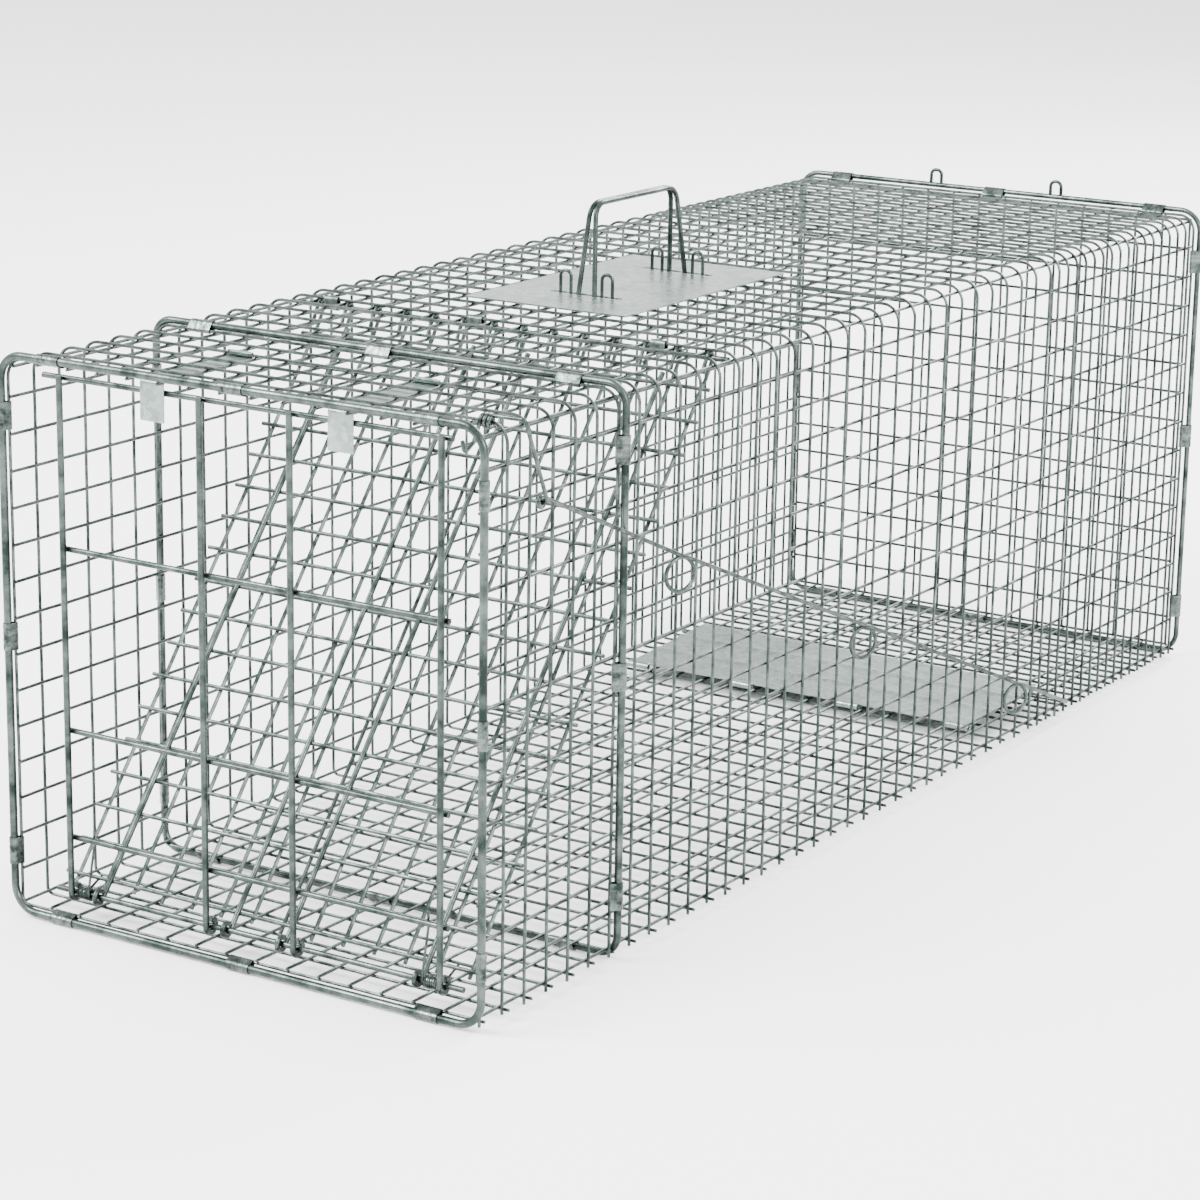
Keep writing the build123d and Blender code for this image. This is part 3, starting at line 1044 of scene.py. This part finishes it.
class TRAP_OT_link_rod(bpy.types.Operator):
    """Build the looped rod from the lever to the pan"""

    bl_idname = "trap.link_rod"
    bl_label = "Link Rod"

    def execute(self, context):
        sizes = context.scene.trap_sizes
        wire = sizes.link_wire
        low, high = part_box("link_rod")
        pin = Vector(LEVER_PIN)
        rear = Vector((pin.x, high.y - wire / 2, low.z + wire / 2))
        rear.z = self.rear_height(rear, wire)
        slope = (rear - pin).normalized()
        below = X_AXIS.cross(slope)
        if below.z > 0:
            below = -below
        turn_axis = slope.cross(below).normalized()
        eye = sizes.lever_wire / 2 + 0.4 * MM + wire / 2
        tangent = pin - below * eye
        start = Matrix.Rotation(math.radians(-310), 3, turn_axis) @ (tangent - pin) + pin
        line = arc(pin, start, turn_axis, 310, 26)
        reach = wire * 0.52
        for cells in LOOP_CELLS:
            run = (along(cells) - pin.y) / slope.y
            spot = pin + slope * run
            centre = spot + below * sizes.loop_radius
            steps = 40
            swing = Matrix.Rotation(math.radians(-25), 3, Z_AXIS)
            for step, point in enumerate(arc(centre, spot, turn_axis, 360, steps)):
                shift = Vector((-reach + 2 * reach * step / steps, 0, 0))
                line.append(spot + swing @ (point - spot) + shift)
        corner = [line[-1], rear, Vector((low.x + 0.5 * MM, rear.y, rear.z))]
        line += bend(corner, 5 * MM)[1:]
        rod = Shape()
        rod.wire(line, wire, 14)
        rod.piece("link_rod_wire", "link", spring_zinc(), ("link_rod",))
        return {"FINISHED"}

    def rear_height(self, rear, wire):
        """Height of the cross run, from the CAD rod's vertices at its inner end."""
        heights = []
        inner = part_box("link_rod")[0].x + 20 * MM
        for vertex in frame["nodes"]["link_rod"].data.vertices:
            if vertex.co.x < inner:
                heights.append(vertex.co.z)
        if not heights:
            raise RuntimeError("the link rod has no cross run under the pan")
        return (min(heights) + max(heights)) / 2


class TRAP_OT_pan(bpy.types.Operator):
    """Build the creased trigger pan and the curls of its hinge"""

    bl_idname = "trap.pan"
    bl_label = "Trigger Pan"

    def execute(self, context):
        low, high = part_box("trigger_pan")
        sheet = 0.8 * MM
        base = PAN_HINGE.z + sheet / 2
        profile = (
            (low.y, base + 0.4 * MM),
            (along(30.5), base + 1.9 * MM),
            (along(30.75), base + 3.6 * MM),
            (along(31.0), base + 2.4 * MM),
            (along(32.1), base + 4.0 * MM),
            (along(32.35), base + 5.7 * MM),
            (along(32.6), base + 4.7 * MM),
            (high.y, base + 6.3 * MM),
        )
        line = bend([Vector((0.0, y, z)) for y, z in profile], 9 * MM, steps=5)
        pan = Shape()
        pan.strip(line, X_AXIS, high.x - low.x, sheet)
        pan.piece("pan_sheet", "pan", sheet_zinc(), ("trigger_pan",))
        curl_low, curl_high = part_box("pan_hinge_curls")
        radius = (curl_high.z - curl_low.z) / 2 - sheet / 2
        centre_y = curl_low.y + radius + sheet / 2
        centre_z = (curl_high.z + curl_low.z) / 2
        curls = Shape()
        for cells in CURL_CELLS:
            centre = Vector((across(cells), centre_y, centre_z))
            turn = arc(centre, centre + Vector((0, 0, radius)), X_AXIS, 290, 20)
            turn = [Vector((across(cells), curl_high.y - 0.2 * MM, centre_z + radius))] + turn
            curls.strip(turn, X_AXIS, 20 * MM, sheet)
        curls.piece("pan_curls", "pan", sheet_zinc(), ("pan_hinge_curls",))
        return {"FINISHED"}


class TRAP_OT_stop_strips(bpy.types.Operator):
    """Build the two bent strips that stop the brace at the top"""

    bl_idname = "trap.stop_strips"
    bl_label = "Stop Strips"

    def execute(self, context):
        for side in ("left", "right"):
            name = f"{side}_stop_strip"
            low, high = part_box(name)
            x = (low.x + high.x) / 2
            sheet = 1.0 * MM
            flat = high.z - sheet / 2
            tab = low.y + sheet / 2
            wire = Vector((x, along(STRIP_WIRE_CELLS), ROOF_Z + 1.1 * MM))
            wrap = 1.15 * MM + sheet / 2 + 0.2 * MM
            line = bend(
                [
                    Vector((x, tab - 0.3 * MM, low.z)),
                    Vector((x, tab, flat)),
                    Vector((x, wire.y - 5 * MM, flat)),
                    Vector((x, wire.y, wire.z - wrap)),
                ],
                3 * MM,
            )
            line += arc(wire, wire - Vector((0, 0, wrap)), X_AXIS, 215, 14)[1:]
            strip = Shape()
            strip.strip(line, X_AXIS, high.x - low.x, sheet)
            strip.piece(f"{side}_strip_sheet", "cage", sheet_zinc(), (name,))
        return {"FINISHED"}


class TRAP_OT_finishes(bpy.types.Operator):
    """Give the carried CAD parts their metal finishes"""

    bl_idname = "trap.finishes"
    bl_label = "CAD Finishes"

    def execute(self, context):
        for name, cad in frame["nodes"].items():
            finish = rod_zinc()
            if name.startswith("handle_guard"):
                finish = sheet_zinc()
            elif name.startswith("handle"):
                finish = handle_zinc()
            elif name == "rear_loops":
                finish = spring_zinc()
            if not cad.material_slots:
                cad.data.materials.append(finish)
            for slot in cad.material_slots:
                slot.material = finish
        return {"FINISHED"}


class TRAP_OT_stage(bpy.types.Operator):
    """Lay the pale floor and set the lights and the camera"""

    bl_idname = "trap.stage"
    bl_label = "Studio"

    def execute(self, context):
        colours = context.scene.trap_colours
        self.floor(colours)
        self.lights(context.scene)
        self.camera(context.scene)
        return {"FINISHED"}

    def floor(self, colours):
        """A wide pale floor under the cage."""
        half = 9.0
        mesh = bpy.data.meshes.new("studio_floor")
        corners = [(-half, -half, 0), (half, -half, 0), (half, half, 0), (-half, half, 0)]
        mesh.from_pydata(corners, [], [(0, 1, 2, 3)])
        ground = bpy.data.objects.new("studio_floor", mesh)
        ground.location.z = -0.0005
        bpy.context.scene.collection.objects.link(ground)
        paint = bpy.data.materials.new("floor_paint")
        paint.use_nodes = True
        tree = paint.node_tree
        shader = tree.nodes["Principled BSDF"]
        shader.inputs["Roughness"].default_value = 0.9
        shader.inputs["Specular IOR Level"].default_value = 0.1
        place = node(tree, "ShaderNodeTexCoord", (-900, 0)).outputs["Object"]
        cloud = noise(tree, (-700, 0), place, 1.5, 2.0, 0.5)
        light = (*colours.floor_colour, 1.0)
        dim = (*(value * 0.985 for value in colours.floor_colour), 1.0)
        tone = mix_colour(tree, (-300, 0), cloud, light, dim)
        tree.links.new(tone, shader.inputs["Base Color"])
        mesh.materials.append(paint)

    def lights(self, scene):
        """A white surround with three soft lights."""
        world = bpy.data.worlds.new("studio_world")
        world.use_nodes = True
        surround = world.node_tree.nodes["Background"]
        surround.inputs["Color"].default_value = (1.0, 1.0, 1.0, 1.0)
        surround.inputs["Strength"].default_value = 2.6
        scene.world = world
        lamps = (
            ("key_light", (-2.2, -2.6, 3.2), 2.2, 560.0),
            ("fill_light", (3.4, -1.4, 2.0), 2.0, 170.0),
            ("rear_light", (0.6, 3.2, 2.8), 2.2, 420.0),
        )
        for name, place, size, power in lamps:
            data = bpy.data.lights.new(name, "AREA")
            data.shape = "SQUARE"
            data.size = size
            data.energy = power
            lamp = bpy.data.objects.new(name, data)
            lamp.location = place
            aim = Vector((0, 0, 0.2)) - Vector(place)
            lamp.rotation_mode = "QUATERNION"
            lamp.rotation_quaternion = aim.to_track_quat("-Z", "Y")
            scene.collection.objects.link(lamp)

    def camera(self, scene):
        """A long lens from the right of the door end, a little above the roof."""
        azimuth = math.radians(32.509)
        elevation = math.radians(15.043)
        roll = math.radians(0.891)
        ahead = Vector(
            (
                -math.sin(azimuth) * math.cos(elevation),
                math.cos(azimuth) * math.cos(elevation),
                -math.sin(elevation),
            )
        )
        level = ahead.cross(Z_AXIS).normalized()
        above = level.cross(ahead)
        right = level * math.cos(roll) + above * math.sin(roll)
        top = above * math.cos(roll) - level * math.sin(roll)
        data = bpy.data.cameras.new("studio_camera")
        data.lens = 105.75
        data.sensor_width = 36.0
        data.sensor_fit = "HORIZONTAL"
        seat = bpy.data.objects.new("studio_camera", data)
        turn = Matrix((right, top, -ahead)).transposed()
        place = Matrix.Translation((1.3748, -2.2565, FLOOR_Z + 0.83866))
        seat.matrix_world = place @ turn.to_4x4()
        scene.collection.objects.link(seat)
        scene.camera = seat


STEPS = (
    TRAP_OT_cage_mesh,
    TRAP_OT_rear_panel,
    TRAP_OT_second_hoop,
    TRAP_OT_clips,
    TRAP_OT_door,
    TRAP_OT_hinge_clips,
    TRAP_OT_torsion_springs,
    TRAP_OT_trigger_lever,
    TRAP_OT_link_rod,
    TRAP_OT_pan,
    TRAP_OT_stop_strips,
    TRAP_OT_finishes,
    TRAP_OT_stage,
)


class TRAP_PT_panel(bpy.types.Panel):
    """Panel that lists the building steps."""

    bl_idname = "TRAP_PT_panel"
    bl_label = "Live Catch Trap"
    bl_space_type = "VIEW_3D"
    bl_region_type = "UI"
    bl_category = "Trap"

    def draw(self, context):
        column = self.layout.column()
        for group in (context.scene.trap_sizes, context.scene.trap_colours):
            for label in group.__annotations__:
                column.prop(group, label)
        for step in STEPS:
            column.operator(step.bl_idname)


CLASSES = (TRAP_PG_sizes, TRAP_PG_colours, *STEPS, TRAP_PT_panel)


def register():
    """Register the classes and hang the settings on the scene."""
    for item in CLASSES:
        bpy.utils.register_class(item)
    bpy.types.Scene.trap_sizes = PointerProperty(type=TRAP_PG_sizes)
    bpy.types.Scene.trap_colours = PointerProperty(type=TRAP_PG_colours)


def unregister():
    """Take the settings and the classes away."""
    del bpy.types.Scene.trap_colours
    del bpy.types.Scene.trap_sizes
    for item in reversed(CLASSES):
        bpy.utils.unregister_class(item)


def main():
    """Build every piece in order."""
    register()
    for step in STEPS:
        category, action = step.bl_idname.split(".")
        getattr(getattr(bpy.ops, category), action)()


if __name__ == "__main__":
    main()
